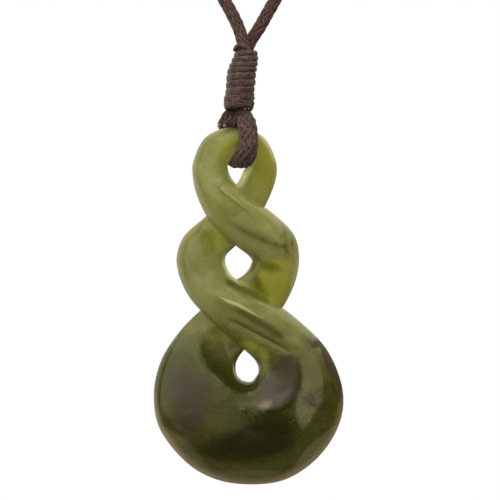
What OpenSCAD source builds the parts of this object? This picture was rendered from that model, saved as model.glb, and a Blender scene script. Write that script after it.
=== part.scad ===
/* [Stone] */
// Height of the stone
stone_height = 50; // [47:0.5:53]
// Thickness of the stone where two runs of the band cross
stone_thickness = 6; // [5.4:0.1:6.4]
// Roundness of the band's rails: 2 is an ellipse, more is squarer
rail_power = 2.3; // [2:0.1:3]
// Flat sides round each section of the band
band_sides = 22; // [16:2:28]
// Rings from one row of the band's tables to the next
band_steps = 3; // [2:1:4]

/* [Cord] */
// Diameter of the braided cord
cord_d = 1.8; // [1.6:0.05:1.85]
// Width of the cord where it bends over the stone, with its braid eased open
bend_d = 2.4; // [1.8:0.05:2.45]
// Diameter of the cord where it is squeezed through the hole of the stone
squeezed_d = 2.15; // [1.8:0.05:2.3]
// Flat sides round the cord
cord_sides = 8; // [8:1:10]

/* [Binding] */
// Rise of one turn of the binding thread
turn_pitch = 1.03; // [0.9:0.01:1.2]
// Height of the rounded back of each turn
turn_bump = 0.16; // [0:0.02:0.2]
// Clearance between the binding and the runs of cord in it
binding_gap = 0.1; // [0.06:0.02:0.12]
// Flat sides round the binding
binding_sides = 24; // [16:4:28]

/* [Hidden] */

stone_green = [0.42, 0.43, 0.22];
cord_brown = [0.27, 0.22, 0.20];
thread_brown = [0.33, 0.28, 0.25];

// The top of the stone's rim, seen from the nape of the neck
hang = [0, -116, -205];

// Columns of the band's tables. A row is one section across the band, from its first rail to its second.
// The rails are given in the plane of the stone, from the top of its rim. The crown is the rise of the
// front face over the rails, and the crest is where across the section the face is highest, from 0 at
// the first rail to 1 at the second.
X1 = 0;
Z1 = 1;
X2 = 2;
Z2 = 3;
CROWN = 4;
CREST = 5;

// From the top down the left side of the top loop, over the first crossing, down the right side of the
// middle loop, under the second crossing and round the left side of the bottom loop
LEFT_RUN = [
    [-1.3, -3.3, -1.9, 0.0, 2.1, 0.50],
    [-2.5, -4.1, -5.9, -1.4, 2.1, 0.50],
    [-2.9, -5.4, -7.7, -4.7, 2.2, 0.50],
    [-2.6, -6.8, -7.8, -7.3, 2.4, 0.48],
    [-1.7, -8.1, -6.8, -10.3, 2.7, 0.38],
    [0.5, -10.2, -5.0, -13.9, 2.9, 0.28],
    [3.1, -11.9, -1.8, -16.7, 2.8, 0.28],
    [6.2, -14.9, 0.1, -18.2, 2.5, 0.40],
    [7.1, -18.1, 0.4, -19.2, 2.2, 0.40],
    [6.6, -21.6, -0.7, -20.8, 1.6, 0.34],
    [4.9, -25.2, -3.4, -22.5, 0.9, 0.36],
    [2.2, -28.4, -6.8, -25.8, 0.5, 0.50],
    [-0.6, -31.3, -9.8, -28.9, 1.1, 0.68],
    [-1.7, -33.0, -12.3, -32.9, 2.0, 0.56],
    [-1.7, -34.6, -13.3, -37.6, 2.6, 0.34],
    [-1.0, -35.5, -11.5, -43.8, 2.8, 0.28],
    [-0.5, -35.7, -7.0, -48.6, 2.9, 0.30],
    [0.0, -35.8, 0.2, -50.2, 2.9, 0.36]
];

// From the top down the right side of the top loop, under the first crossing, down the left side of the
// middle loop, over the second crossing and round the right side of the bottom loop
RIGHT_RUN = [
    [-1.3, -3.3, -1.9, 0.0, 2.1, 0.50],
    [-0.2, -4.0, 2.4, -1.3, 2.1, 0.40],
    [-0.1, -5.2, 3.8, -4.7, 2.1, 0.30],
    [-0.8, -6.4, 3.8, -7.5, 1.7, 0.28],
    [-1.7, -8.1, 2.4, -11.0, 1.0, 0.32],
    [-3.8, -10.2, 0.5, -14.2, 0.5, 0.40],
    [-6.0, -12.6, -1.8, -16.7, 0.9, 0.38],
    [-9.0, -15.3, -3.1, -18.0, 1.7, 0.36],
    [-10.1, -18.4, -3.2, -19.3, 2.2, 0.40],
    [-9.5, -21.6, -2.4, -20.8, 2.4, 0.46],
    [-7.8, -24.6, -0.7, -22.0, 2.7, 0.52],
    [-4.5, -27.9, 2.7, -24.0, 3.0, 0.58],
    [-0.6, -31.3, 6.8, -27.0, 2.9, 0.62],
    [1.0, -32.9, 11.0, -31.3, 2.8, 0.64],
    [1.4, -34.3, 13.2, -36.9, 2.8, 0.62],
    [0.9, -35.3, 12.1, -42.9, 2.8, 0.56],
    [0.5, -35.7, 7.7, -48.4, 2.9, 0.44],
    [0.0, -35.8, 0.2, -50.2, 2.9, 0.36]
];

// The tables' own thickness at the crossings, and how far a run's rails lean to the side of its higher
// crown
table_thickness = 6;
rail_lean = 0.07;

// How far the runs lap where they join, and the size of the lapped end against the section
lap = 0.8;
lap_share = 0.6;

// Columns of the cord's tables: place, radius, how far its section is turned from facing out to facing
// sideways, and the rings from one row to the next
RADIUS = 3;
TURN = 4;
STEPS = 5;

// Right half of the cord round the neck, from beside the nape to the top of the V, seen from the nape
NECK_HALF = [
    [22, -2.5, -1],
    [42, -13, -4],
    [56, -30, -10],
    [63, -51, -22],
    [64, -70, -40],
    [60, -85, -63],
    [51, -97, -91],
    [39, -106, -119],
    [26, -112, -145],
    [15, -115, -167]
];

// The run down the front of the stone, from the V to the hole, seen from the top of the stone's rim
FRONT_RUN = [
    [-9.0, -0.2, 27.4, cord_d / 2, 0.0, 2],
    [-3.4, -0.4, 17.7, cord_d / 2, 0.1, 1],
    [-1.5, -0.7, 14.0, cord_d / 2, 0.3, 1],
    [-0.8, -1.0, 11.6, cord_d / 2, 0.6, 1],
    [-0.7, -1.0, 9.4, cord_d / 2, 0.9, 1],
    [-1.0, -1.0, 6.6, cord_d / 2, 1.0, 1],
    [-1.2, -1.0, 3.8, cord_d / 2, 1.0, 1],
    [-1.0, -1.2, 2.2, cord_d / 2, 1.0, 2],
    [-0.3, -2.7, 0.5, bend_d / 2, 1.0, 2],
    [0.0, -3.7, -1.3, bend_d / 2, 1.0, 2],
    [0.0, -3.85, -3.1, bend_d / 2, 1.0, 2],
    [-0.4, -3.15, -4.5, bend_d / 2, 1.0, 2],
    [-1.2, -1.55, -4.8, squeezed_d / 2, 1.0, 2]
];

// The middle of the hole's straight stretch, which the stone swings on
HOLE_ROW = [-1.45, 0, -4.7, squeezed_d / 2, 1.0, 2];

// The run up the back of the stone, from the hole to the V
BACK_RUN = [
    [-1.6, 1.5, -4.7, squeezed_d / 2, 1.0, 2],
    [-2.0, 3.0, -4.3, bend_d / 2, 1.0, 2],
    [-2.5, 3.8, -3.0, bend_d / 2, 1.0, 2],
    [-2.9, 3.7, -1.3, bend_d / 2, 1.0, 2],
    [-2.8, 2.7, 0.5, bend_d / 2, 1.0, 2],
    [-1.8, 1.2, 2.2, cord_d / 2, 1.0, 1],
    [-1.4, 1.0, 3.8, cord_d / 2, 1.0, 1],
    [-1.0, 1.0, 6.6, cord_d / 2, 1.0, 1],
    [-0.5, 1.0, 9.4, cord_d / 2, 0.9, 1],
    [0.1, 1.0, 11.6, cord_d / 2, 0.6, 1],
    [1.6, 0.7, 14.0, cord_d / 2, 0.3, 1],
    [3.7, 0.4, 17.7, cord_d / 2, 0.1, 1],
    [9.2, 0.2, 27.4, cord_d / 2, 0.0, 2]
];

// Rings from one row of the binding's table to the next
binding_steps = 4;

// Squareness of the binding's outside, and of the channel round its two runs of cord: 2 is an ellipse
wrap_power = 2.5;
channel_power = 4;

// Columns of the binding's table: height over the stone's rim, middle from side to side, half width, half
// depth, half width of the runs of cord inside, and their half depth
HEIGHT = 0;
MIDDLE = 1;
HALF_WIDTH = 2;
HALF_DEPTH = 3;
BORE_WIDTH = 4;
BORE_DEPTH = 5;

// The binding from its bottom to its top
BINDING = [
    [2.3, -1.42, 1.84, 2.70, 1.46, 2.30],
    [2.9, -1.35, 2.00, 2.90, 1.20, 2.05],
    [3.6, -1.30, 2.10, 2.95, 1.05, 1.95],
    [4.4, -1.25, 1.95, 2.85, 1.00, 1.90],
    [5.4, -1.15, 1.98, 2.85, 0.95, 1.90],
    [6.4, -1.05, 2.02, 2.88, 0.95, 1.90],
    [7.4, -1.00, 2.00, 2.85, 0.98, 1.90],
    [8.4, -0.80, 1.95, 2.80, 1.05, 1.90],
    [9.4, -0.60, 1.82, 2.65, 1.12, 1.90],
    [10.2, -0.48, 1.70, 2.50, 1.25, 1.90],
    [10.9, -0.42, 1.62, 2.40, 1.32, 1.90]
];

// The cut end, from under the binding to its tip: place and radius
CUT_END = [
    [-2.7, -0.4, 1.8, 0.55],
    [-3.0, -0.4, 1.4, 0.75],
    [-3.5, -0.4, 1.0, 0.75],
    [-3.8, -0.4, 0.8, 0.45]
];

// A smooth curve through four rows, a share t of the way from the second to the third
function between(a, b, c, d, t) =
    (2 * b + (c - a) * t + (2 * a - 5 * b + 4 * c - d) * t * t + (3 * b - a - 3 * c + d) * t * t * t) / 2;

// Rows and the smooth steps between them, where a row before the first and one after the last lead on
function eased(rows, steps, before, after) =
    let (all = concat([before], rows, [after]))
    [
        for (i = [1 : len(rows) - 1], k = [0 : steps - 1])
            between(all[i - 1], all[i], all[i + 1], all[i + 2], k / steps),
        rows[len(rows) - 1]
    ];

// Rows and the smooth steps between them, where the last row leads on to the first
function eased_loop(rows) =
    let (n = len(rows))
    [
        for (i = [0 : n - 1], k = [0 : rows[i][STEPS] - 1])
            let (before = rows[(i + n - 1) % n], next = rows[(i + 1) % n], after = rows[(i + 2) % n])
            between(before, rows[i], next, after, k / rows[i][STEPS])
    ];

function unit(v) = v / norm(v);
function place_of(row) = [row[0], row[1], row[2]];

// A signed power, for the sections that are squarer than an ellipse
function bulge(s, power) = sign(s) * pow(abs(s), 2 / power);

// Faces that join each ring to the next. A closed skin joins the last ring to the first, and an open one
// is capped.
module skin(rings, closed = false, inside_out = false) {
    count = len(rings);
    sides = len(rings[0]);
    spans = closed ? count : count - 1;
    walls = [
        for (i = [0 : spans - 1], k = [0 : sides - 1])
            let (j = (i + 1) % count, m = (k + 1) % sides)
            each [
                [i * sides + k, j * sides + k, j * sides + m],
                [i * sides + k, j * sides + m, i * sides + m]
            ]
    ];
    caps = closed ? [] : [
        [for (k = [0 : sides - 1]) k],
        [for (k = [sides - 1 : -1 : 0]) (count - 1) * sides + k]
    ];
    faces = concat(walls, caps);
    polyhedron(
        points = [for (ring = rings) each ring],
        faces = inside_out ? [for (face = faces) [for (k = [len(face) - 1 : -1 : 0]) face[k]]] : faces
    );
}

// One section of the band. The stone looks the same from behind, with its two runs changed over, so the
// back face of a run has the crown and crest of the other run's front face.
function band_section(row, other) =
    let (
        first = [row[X1], row[Z1]],
        across = [row[X2] - row[X1], row[Z2] - row[Z1]],
        thicken = stone_thickness / table_thickness,
        rail_y = rail_lean * (other[CROWN] - row[CROWN])
    )
    [
        for (k = [0 : band_sides - 1])
            let (
                angle = 360 * (k + 0.5) / band_sides,
                in_front = angle < 180,
                crown = thicken * (in_front ? row[CROWN] : other[CROWN]),
                crest = in_front ? row[CREST] : other[CREST],
                side = bulge(-cos(angle), rail_power),
                share = side < 0 ? crest * (1 + side) : crest + (1 - crest) * side,
                rise = crown * abs(sin(angle)),
                place = first + share * across
            )
            [place.x, rail_y + (in_front ? -rise : rise), place.y]
    ];

function middle_of(ring) = [for (point = ring) 1] * ring / len(ring);

// A smaller copy of an end ring, moved on past it, so that the two runs lap inside the stone
function lap_ring(ring, before) =
    let (
        middle = middle_of(ring),
        onward = unit(middle - middle_of(before))
    )
    [for (point = ring) middle + lap_share * (point - middle) + lap * onward];

// One run of the band. Both runs share their first and last rows, so each leads on into the other.
module band_run(rows, others, inside_out) {
    last = len(rows) - 1;
    eased_rows = eased(rows, band_steps, others[1], others[last - 1]);
    eased_others = eased(others, band_steps, rows[1], rows[last - 1]);
    end = len(eased_rows) - 1;
    rings = [for (i = [0 : end]) band_section(eased_rows[i], eased_others[i])];
    skin(
        concat([lap_ring(rings[0], rings[1])], rings, [lap_ring(rings[end], rings[end - 1])]),
        inside_out = inside_out
    );
}

// The direction of a run of rings at one of them
function heading(rows, i, closed) =
    let (n = len(rows))
    unit(
        closed
            ? place_of(rows[(i + 1) % n]) - place_of(rows[(i + n - 1) % n])
            : place_of(rows[min(i + 1, n - 1)]) - place_of(rows[max(i - 1, 0)])
    );

// A round ring of a tube, square to its heading, with its sides counted from the direction toward
function tube_ring(row, along, toward, sides) =
    let (
        u = unit(toward - (toward * along) * along),
        v = cross(along, u)
    )
    [
        for (k = [0 : sides - 1])
            place_of(row) + row[RADIUS] * (cos(360 * k / sides) * u + sin(360 * k / sides) * v)
    ];

// Away from the middle of the neck, level
neck_middle = [0, -60, 0];
function outward(place) = unit([place.x - neck_middle.x, place.y - neck_middle.y, 0]);

function neck_row(p, side) = [side * p.x, p.y, p.z, cord_d / 2, 0, 2];
function hung_row(row) = concat(place_of(row) + hang, [row[RADIUS], row[TURN], row[STEPS]]);

// The whole cord, from the nape down the left side, through the stone and back up the right side
nape_row = [0, cord_d / 2, 0, cord_d / 2, 0, 2];
cord_rows = concat(
    [nape_row],
    [for (p = NECK_HALF) neck_row(p, -1)],
    [for (row = FRONT_RUN) hung_row(row)],
    [hung_row(HOLE_ROW)],
    [for (row = BACK_RUN) hung_row(row)],
    [for (i = [len(NECK_HALF) - 1 : -1 : 0]) neck_row(NECK_HALF[i], 1)]
);

// The two runs of the band, joined into one stone
module twist() {
    color(stone_green)
        translate(hang)
            resize([0, 0, stone_height], auto = true)
                union() {
                    band_run(LEFT_RUN, RIGHT_RUN, false);
                    band_run(RIGHT_RUN, LEFT_RUN, true);
                }
}

module cord() {
    rows = eased_loop(cord_rows);
    color(cord_brown)
        skin(
            [
                for (i = [0 : len(rows) - 1])
                    tube_ring(
                        rows[i],
                        heading(rows, i, true),
                        (1 - rows[i][TURN]) * outward(place_of(rows[i])) + rows[i][TURN] * [1, 0, 0],
                        cord_sides
                    )
            ],
            closed = true
        );
}

function oval(row, half_width, half_depth, power) = [
    for (k = [0 : binding_sides - 1])
        let (angle = 360 * k / binding_sides)
        [
            row[MIDDLE] + half_width * bulge(cos(angle), power),
            half_depth * bulge(sin(angle), power),
            row[HEIGHT]
        ]
];

// A thimble of wound thread: its outside goes up with a rounded back for each turn, and its channel
// comes down
module binding() {
    last = len(BINDING) - 1;
    rows = eased(BINDING, binding_steps, BINDING[0], BINDING[last]);
    outside = [
        for (row = rows)
            let (bump = turn_bump * (abs(sin(180 * row[HEIGHT] / turn_pitch)) - 0.5))
            oval(row, row[HALF_WIDTH] + bump, row[HALF_DEPTH] + bump, wrap_power)
    ];
    channel = [
        for (i = [len(BINDING) - 1 : -1 : 0])
            let (row = BINDING[i])
            oval(row, row[BORE_WIDTH] + binding_gap, row[BORE_DEPTH] + binding_gap, channel_power)
    ];
    color(thread_brown)
        translate(hang)
            skin(concat(outside, channel), closed = true);
}

module cord_end() {
    color(cord_brown)
        translate(hang)
            skin([
                for (i = [0 : len(CUT_END) - 1])
                    tube_ring(CUT_END[i], heading(CUT_END, i, false), [0, -1, 0], cord_sides)
            ]);
}

twist();
cord();
binding();
cord_end();
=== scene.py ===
"""The looks of a greenstone twist pendant on a braided cord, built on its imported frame."""
import math

import bmesh
import bpy
import numpy as np
from bpy.props import FloatProperty, FloatVectorProperty, IntProperty, PointerProperty
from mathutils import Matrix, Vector


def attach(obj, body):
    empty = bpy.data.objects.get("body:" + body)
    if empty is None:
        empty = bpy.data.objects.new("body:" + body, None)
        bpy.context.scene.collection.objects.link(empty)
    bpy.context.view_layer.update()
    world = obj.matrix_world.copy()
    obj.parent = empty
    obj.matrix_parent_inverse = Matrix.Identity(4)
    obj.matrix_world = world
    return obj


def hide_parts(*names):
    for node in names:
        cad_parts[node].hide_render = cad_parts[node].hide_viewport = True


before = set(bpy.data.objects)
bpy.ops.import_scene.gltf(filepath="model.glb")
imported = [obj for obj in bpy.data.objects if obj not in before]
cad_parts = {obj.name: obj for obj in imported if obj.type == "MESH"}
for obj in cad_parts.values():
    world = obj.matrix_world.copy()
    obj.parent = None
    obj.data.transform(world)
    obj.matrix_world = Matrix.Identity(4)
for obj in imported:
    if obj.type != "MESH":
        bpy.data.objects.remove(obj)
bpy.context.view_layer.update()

bl_info = {
    "name": "Greenstone Twist Pendant",
    "version": (1, 0, 0),
    "blender": (4, 5, 0),
    "location": "3D View > Sidebar > Pendant",
    "description": "Builds the twisted stone, its braided cord, the binding and the studio",
    "category": "Add Mesh",
}

MM = 0.001

# The top of the stone's rim, in metres from the nape of the neck
HANG = np.array([0.0, -0.116, -0.205])

# Rows of the two runs of the stone's band, in millimetres from the top of its rim, as in the CAD
# but for a few that follow the stone's outline more closely. A row is the X and Z of the first
# rail, the X and Z of the second, the rise of the crown, and the place of its crest across the
# band, from 0 at the first rail to 1 at the second.
LEFT_RUN = [
    (-1.3, -3.3, -1.9, 0.0, 2.1, 0.50),
    (-2.15, -4.3, -5.9, -1.4, 2.1, 0.50),
    (-2.9, -5.4, -7.7, -4.7, 2.2, 0.50),
    (-2.6, -6.8, -7.8, -7.3, 2.4, 0.48),
    (-1.7, -8.1, -6.98, -10.36, 2.7, 0.38),
    (0.5, -10.2, -5.0, -13.9, 2.9, 0.28),
    (3.1, -11.9, -1.8, -16.7, 2.8, 0.28),
    (6.2, -14.9, 0.1, -18.2, 2.5, 0.40),
    (7.1, -18.1, 0.4, -19.2, 2.2, 0.40),
    (6.6, -21.6, -0.7, -20.8, 1.6, 0.34),
    (4.9, -25.2, -3.4, -22.5, 0.9, 0.36),
    (2.2, -28.4, -6.8, -25.8, 0.5, 0.50),
    (-0.6, -31.3, -9.8, -28.9, 1.1, 0.68),
    (-1.7, -33.0, -12.3, -32.9, 2.0, 0.56),
    (-1.7, -34.6, -13.3, -37.6, 2.6, 0.34),
    (-1.0, -35.5, -12.45, -42.4, 2.8, 0.28),
    (-0.75, -35.6, -8.95, -46.9, 2.85, 0.29),
    (-0.5, -35.7, -4.8, -49.4, 2.9, 0.32),
    (0.0, -35.8, 0.2, -50.2, 2.9, 0.36),
]
RIGHT_RUN = [
    (-1.3, -3.3, -1.9, 0.0, 2.1, 0.50),
    (-0.2, -4.0, 2.0, -1.4, 2.1, 0.40),
    (-0.1, -5.2, 3.8, -4.7, 2.1, 0.30),
    (-0.8, -6.4, 3.8, -7.5, 1.7, 0.28),
    (-1.7, -8.1, 2.4, -11.0, 1.0, 0.32),
    (-3.8, -10.2, 0.5, -14.2, 0.5, 0.40),
    (-6.0, -12.6, -1.8, -16.7, 0.9, 0.38),
    (-9.0, -15.3, -3.1, -18.0, 1.7, 0.36),
    (-10.1, -18.4, -3.2, -19.3, 2.2, 0.40),
    (-9.5, -21.6, -2.4, -20.8, 2.4, 0.46),
    (-7.8, -24.6, -0.7, -22.0, 2.7, 0.52),
    (-4.5, -27.9, 2.7, -24.0, 3.0, 0.58),
    (-0.6, -31.3, 6.8, -27.0, 2.9, 0.62),
    (1.0, -32.9, 11.0, -31.3, 2.8, 0.64),
    (1.4, -34.3, 13.2, -36.9, 2.8, 0.62),
    (0.9, -35.3, 12.7, -41.8, 2.8, 0.56),
    (0.7, -35.5, 9.75, -46.4, 2.85, 0.50),
    (0.5, -35.7, 5.3, -49.45, 2.9, 0.42),
    (0.0, -35.8, 0.2, -50.2, 2.9, 0.36),
]

# How far the rails lean at a crossing, back on the thinner run and forward on the thicker one,
# against the difference in crown
RAIL_LEAN = 0.07

# How square a section is in the loops and in the round bottom, the height where the bottom starts,
# and the drop over which the one section turns into the other
RAIL_POWER = 2.3
BOTTOM_POWER = 3.0
BOTTOM_START = -28.0
BOTTOM_BLEND = 6.0

# The stone's thickness that the rises above are drawn for
TABLE_THICKNESS = 6.0

# How far a run goes on inside the other at its ends, and how large its last section is there
LAP = 0.8
LAP_SHARE = 0.6

# How quickly the carved lines fade towards the rails, how blunt the top of a ridge is, and what is
# left of a line's spread where its share of the rise is 0
EDGE_FADE = 0.8
BLUNT = 0.06
NARROWEST = 0.15

# Points of a mesh that are nearer than this are made one, in the pieces and in the joined stone
WELD = 1e-8
STONE_WELD = 0.004

# Creases sharper than this are eased, so many times and so far each time
CREASE = math.radians(16)
POLISH_PASSES = 3
POLISH = 0.35

# Ridges and hollows that the carver left on the front of each run: rise, how far it spreads on the
# left and on the right of its line, and the points of the line, X, Z and share of the rise. The
# first list is on both runs, which meet at the top and at the bottom of the stone, and starts with
# fine ripples under the bottom hole.
RIPPLES = [
    [(-1.3, -39.6, 0.3), (-0.9, -40.5, 1.0), (-0.1, -41.3, 0.2)],
    [(-0.5, -39.7, 0.3), (0.1, -40.6, 1.0), (1.0, -41.2, 0.2)],
    [(0.5, -39.8, 0.3), (1.2, -40.5, 1.0), (2.3, -41.0, 0.2)],
    [(1.6, -39.8, 0.3), (2.5, -40.4, 1.0), (3.6, -40.6, 0.2)],
    [(2.8, -39.9, 0.3), (3.8, -40.2, 1.0), (4.9, -40.0, 0.2)],
]
SHARED_LINES = [(0.15, 0.35, 0.2, line) for line in RIPPLES] + [
    # Edge of the hollow round the top hole
    (0.35, 2, 2.4, [
        (-0.6, -1.9, 0), (-1.4, -2.2, 0.5), (-2.3, -2.9, 0.9), (-3.3, -4.3, 1), (-3.6, -5.8, 1),
        (-3.1, -7.5, 1), (-2.3, -8.7, 0.8), (-1.2, -10, 0.6), (0.5, -11.4, 0),
    ]),
    # Hollow left of and under the bottom hole
    (-0.9, 3, 4.1, [
        (-4.9, -27.8, 0.1), (-3.9, -29.6, 0.7), (-3.1, -31.5, 1), (-2.4, -33.4, 0.75),
        (-1.6, -35, 0.42), (-0.6, -35.8, 0.18), (0.5, -35.8, 0.1), (1.4, -35, 0.05),
    ]),
    # Groove and lip that curl round the bottom hole
    (-0.3, 0.5, 1, [
        (-3.7, -26.6, 0), (-1.7, -27.3, 0.6), (0.2, -28.3, 0.9), (2.3, -29.4, 1), (4.1, -30.3, 0.8),
        (5.8, -31.1, 0.5), (7.2, -32.8, 0.5), (7.6, -35, 0.8), (7.1, -36.7, 0.8), (5.9, -38.2, 0.5),
        (4.1, -39.3, 0.3), (1.9, -39.7, 0),
    ]),
    (0.24, 0.6, 2.4, [
        (7.2, -34.3, 0), (6.9, -36.5, 0.3), (5.9, -38.4, 0.6), (4.3, -39.5, 1), (2.4, -39.3, 0.8),
        (1, -39.2, 0.25), (-0.2, -39.1, 0.15), (-1.4, -38.8, 0),
    ]),
    (0.12, 0.4, 0.6, [(-1.4, -38.8, 0), (-0.8, -39.1, 1), (-0.3, -39.4, 0.8), (0.1, -39.6, 0)]),
    # Slope down from the lip
    (0.42, 4.8, 1.6, [
        (6.8, -36.6, 0), (4.6, -38.8, 0.8), (2.6, -39.3, 0.9), (1.2, -39.3, 0.6),
        (0.2, -39.2, 0.35), (-1.6, -38.9, 0.1), (-2.6, -38.6, 0),
    ]),
    # Bevels along the bottom and along the right edge of the bottom loop
    (0.16, 1.6, 2.6, [
        (-11.7, -38.9, 0), (-10.7, -41.7, 0.5), (-9.3, -43.5, 0.8), (-6.2, -45.9, 1), (-3, -47, 1),
        (1.5, -47.4, 1), (5.9, -46.2, 1), (9.3, -43.9, 0.9), (11.4, -41.7, 0.5), (12.4, -38.9, 0),
    ]),
    (0.3, 3, 2.2, [
        (7.2, -43.9, 0), (8.3, -42.6, 0.7), (9.9, -39.4, 1), (10.4, -36.1, 1), (10.1, -32.9, 1),
        (8.6, -30, 0.7), (6.5, -27.7, 0),
    ]),
]
LEFT_LINES = SHARED_LINES + [
    # Thin ridge over the first crossing
    (0.2, 2.6, 0.3, [
        (-4.8, -8, 0), (-4.4, -8.3, 0.6), (-3.3, -9.3, 1), (-1.9, -10.3, 1), (-0.2, -11.7, 0.8),
        (0.8, -12.8, 0.5), (1.2, -13.6, 0),
    ]),
    # Ridge lower over the first crossing
    (0.4, 2.8, 0.9, [
        (-2.8, -13.2, 0), (-1.2, -13.9, 0.7), (0.4, -14.5, 1), (1.9, -15, 1), (4.1, -16.2, 1),
        (5.5, -16.9, 0),
    ]),
    # Ridge along the outside of the middle loop
    (0.3, 1.8, 2.4, [
        (3.5, -12.2, 0), (4.3, -13.8, 1), (4.5, -15.6, 1), (5, -17.2, 0.7), (5.6, -19.9, 0.8),
        (5.5, -22.1, 0.8), (5, -24, 0.5), (4.5, -25.3, 0),
    ]),
]
RIGHT_LINES = SHARED_LINES + [
    # Edge of the hollow left of and under the middle hole
    (0.4, 2.2, 3.2, [
        (-7.2, -13.6, 0), (-7.2, -15.2, 0.7), (-6.4, -17.3, 1), (-5.9, -18.9, 1), (-4.8, -20.6, 1),
        (-3.3, -21.9, 1), (-1.5, -23, 0.8), (0.9, -23.8, 0.6), (2.9, -24.4, 0),
    ]),
    # Ridge over the second crossing
    (0.75, 4.2, 2.1, [
        (-4.7, -23.3, 0), (-3.6, -24, 0.4), (-2.3, -24.6, 0.8), (-0.8, -25.3, 1), (1, -26.3, 1),
        (2.7, -27.2, 1), (4, -28, 0.8), (5.4, -29.4, 0),
    ]),
]

# Painted shade on the front: a darker, deeper green in the carved hollows and grooves, under the
# ridges and in the troughs of the ripples, written in the same way
PAINTED_SHADE_LINES = [(0.8, 0.05, 0.22, line) for line in RIPPLES] + [
    (0.9, 0.85, 0.75, [
        (-2.4, -25.4, 0.5), (-1.2, -25.9, 0.9), (0.8, -27, 1), (3, -28.3, 1), (4.5, -29.3, 0.8),
    ]),
    (0.5, 0.55, 0.7, [
        (-3.4, -13.2, 0.3), (-2, -14, 0.9), (-0.5, -14.7, 1), (1.05, -15.5, 1), (2.7, -16.3, 1),
        (5.1, -16.9, 0.8), (6, -18, 0.5),
    ]),
    (1.1, 0.8, 0.75, [
        (-3.2, -21.4, 0.4), (-2.6, -21.9, 0.8), (-1.2, -22.7, 1), (0.3, -23.4, 1),
        (1.6, -24.1, 0.9), (3.2, -24.8, 0.3),
    ]),
    (0.42, 0.7, 0.8, [
        (3.9, -12.6, 0.3), (4.9, -13.9, 0.9), (5.2, -15.9, 1), (5.3, -17.9, 0.9), (5.2, -19.5, 0.3),
    ]),
    (0.8, 1.2, 1.5, [(0.6, -18, 0.8), (1.8, -19.3, 1), (3.4, -19.7, 1), (4.6, -20, 0.5)]),
    (0.5, 1.7, 1.6, [(-6.3, -14.6, 0.6), (-5.3, -15.8, 1), (-4.8, -17.4, 0.8)]),
    (0.8, 1.1, 1.4, [(0.5, -19.4, 0.6), (0.9, -21.2, 1), (1.6, -22.7, 1), (2.6, -23.6, 0.7)]),
    (0.85, 3.2, 0.3, [
        (-7, -29.6, 0.5), (-6.4, -31.8, 0.9), (-5.4, -33.6, 1), (-4, -35.2, 1), (-2.4, -36.4, 1),
        (-1.1, -36.9, 1), (0.3, -36.9, 1), (1.2, -36.3, 0.9), (1.5, -35.2, 0.5),
    ]),
    (0.8, 0.3, 0.35, [
        (-3.4, -26.7, 0.5), (-1.7, -27.3, 1), (0.2, -28.3, 1), (2.3, -29.4, 1), (4.1, -30.4, 1),
        (5.8, -31.4, 1),
    ]),
    (0.8, 0.5, 0.7, [
        (6.6, -32.4, 0.6), (7.1, -33.5, 0.9), (7.4, -35.5, 1), (6.9, -37.4, 1), (5.6, -39, 1),
        (3.6, -39.9, 1), (1, -40.2, 1), (-0.8, -39.8, 0.5),
    ]),
    (0.36, 0.15, 0.35, [(-4.3, -8.7, 0.6), (-3.3, -9.6, 1), (-1.9, -10.6, 0.8), (-0.2, -12, 0.5)]),
]

# Painted light: paler inner walls and rims where light comes through the thin stone, and painted
# highlights along the ridges and the crests of the ripples
PAINTED_LIGHT_AND_HIGHLIGHT_LINES = [(0.22, 0.3, 0.15, line) for line in RIPPLES] + [
    (1, 1.2, 0.6, [
        (0.2, -4.9, 0.4), (-0.1, -5.6, 0.9), (-0.6, -6.6, 1), (-1.2, -7.8, 0.9), (-1.6, -8.6, 0.5),
    ]),
    (0.8, 0.45, 0.5, [(-3.3, -17.6, 0.5), (-3.35, -19.2, 1), (-2.8, -20.4, 1), (-1.9, -21.4, 0.7)]),
    (0.6, 0.5, 0.4, [(0.3, -19, 0.6), (0, -20, 0.8), (-0.9, -21.1, 0.6)]),
    (0.65, 0.3, 0.35, [
        (-2.05, -33, 0.4), (-2.1, -33.8, 0.8), (-1.9, -34.5, 1), (-1.45, -35.1, 1),
        (-0.8, -35.5, 1), (0, -35.6, 0.9), (0.6, -35.4, 0.7), (1.1, -34.8, 0.3),
    ]),
    (1, 0.36, 0.22, [
        (-4, -23.9, 0.5), (-2.8, -24.5, 1), (-1.4, -25, 1), (0, -25.8, 0.8), (1.3, -26.5, 0.5),
        (2.7, -27.2, 0.3), (4, -28, 0.1),
    ]),
    (0.6, 0.12, 0.12, [(-4.6, -8.1, 0.3), (-3.3, -9.3, 1), (-1.9, -10.3, 1), (-0.2, -11.7, 0.5)]),
    (1, 0.8, 0.6, [(1.2, -0.9, 0.6), (2.4, -1.8, 1), (3.2, -3.2, 1), (3.6, -4.9, 0.5)]),
    (0.45, 0.5, 0.5, [(6, -19.8, 0.3), (6.3, -21.6, 1), (5.6, -23.8, 1), (4.6, -25.4, 0.5)]),
]

# Inner walls of the top and middle holes, which the bright surround shines through
GLOW_LINES = [
    (0.55, 1.1, 1.1, [
        (-1, -2.9, 0.4), (-1.9, -3.3, 0.9), (-2.7, -4.4, 1), (-3, -5.8, 0.9), (-2.6, -7.3, 0.4),
    ]),
    (1, 0.9, 0.9, [(0.4, -4.9, 0.9), (-0.2, -6.1, 1), (-0.8, -7.1, 0.9), (-1.4, -8.2, 0.5)]),
    (0.6, 0.6, 0.5, [
        (-3.4, -17.8, 0.4), (-3.4, -19.4, 1), (-2.6, -20.9, 1), (-1.2, -21.9, 0.8), (0, -22.4, 0.3),
    ]),
]

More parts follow.
